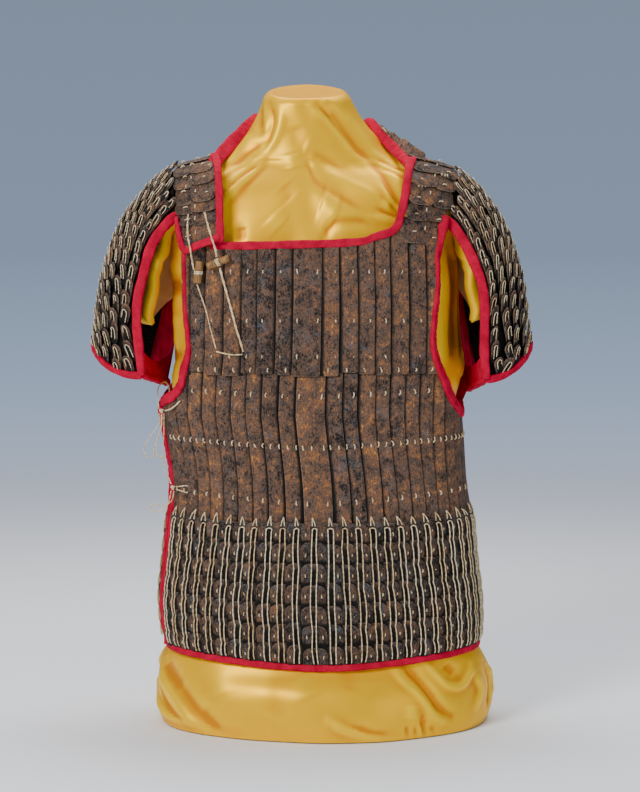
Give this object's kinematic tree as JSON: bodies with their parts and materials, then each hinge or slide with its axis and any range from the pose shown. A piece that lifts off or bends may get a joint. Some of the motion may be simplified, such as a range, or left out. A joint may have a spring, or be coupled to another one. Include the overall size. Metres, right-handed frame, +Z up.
{
  "type": "lamellar armour on a torso stand",
  "caption": "Short-sleeved coat of laced iron scales with red cloth bindings, wooden toggles and side ties, resting on a satin-covered torso stand.",
  "frame": {"origin": "middle of the whole figure's bounding box, on the surface that the stand rests on", "axes": "+X towards the wearer's left, -Y towards the front, +Z up along the stand"},
  "size_m": [0.5504, 0.2706, 0.8003],
  "materials": {
    "rusted_iron": "old iron with brown and orange rust",
    "binding_cloth": "crimson wool cloth, matt with a soft nap",
    "gusset_cloth": "dark red cloth, matt",
    "satin": "golden yellow satin, glossy",
    "form_board": "plain pressed board, matt",
    "toggle_wood": "worn light wood, matt",
    "cord": "undyed twisted cord, matt"
  },
  "bodies": {
    "root": {"torso_form": "form_board", "satin_cover": "satin", "sleeve_support_right": "satin", "sleeve_support_left": "satin", "chest_front": "rusted_iron", "chest_back": "rusted_iron", "waist_wrap": "rusted_iron", "skirt_wrap": "rusted_iron", "shoulder_strap_right": "rusted_iron", "shoulder_strap_left": "rusted_iron", "yoke_back": "rusted_iron", "sleeve_right": "rusted_iron", "sleeve_left": "rusted_iron", "sleeve_gusset_right": "gusset_cloth", "sleeve_gusset_left": "gusset_cloth", "neck_binding": "binding_cloth", "strap_end_binding": "binding_cloth", "armhole_binding_left": "binding_cloth", "armhole_binding_right": "binding_cloth", "opening_binding_back": "binding_cloth", "opening_binding_front": "binding_cloth", "hem_binding": "binding_cloth", "sleeve_binding_right": "binding_cloth", "sleeve_binding_left": "binding_cloth", "toggle_outer": "toggle_wood", "toggle_inner": "toggle_wood", "tie_knot_upper": "cord", "tie_knot_lower": "cord", "strap_cord_outer": "cord", "strap_cord_inner": "cord", "chest_cord_outer": "cord", "chest_cord_cross": "cord", "chest_cord_inner": "cord", "tie_sleeve_loop": "cord", "tie_anchor_upper": "cord", "tie_loop_long": "cord", "tie_loop_short": "cord", "tie_strand": "cord", "tie_loop_lower": "cord", "tie_anchor_lower": "cord"}
  },
  "joints": []
}
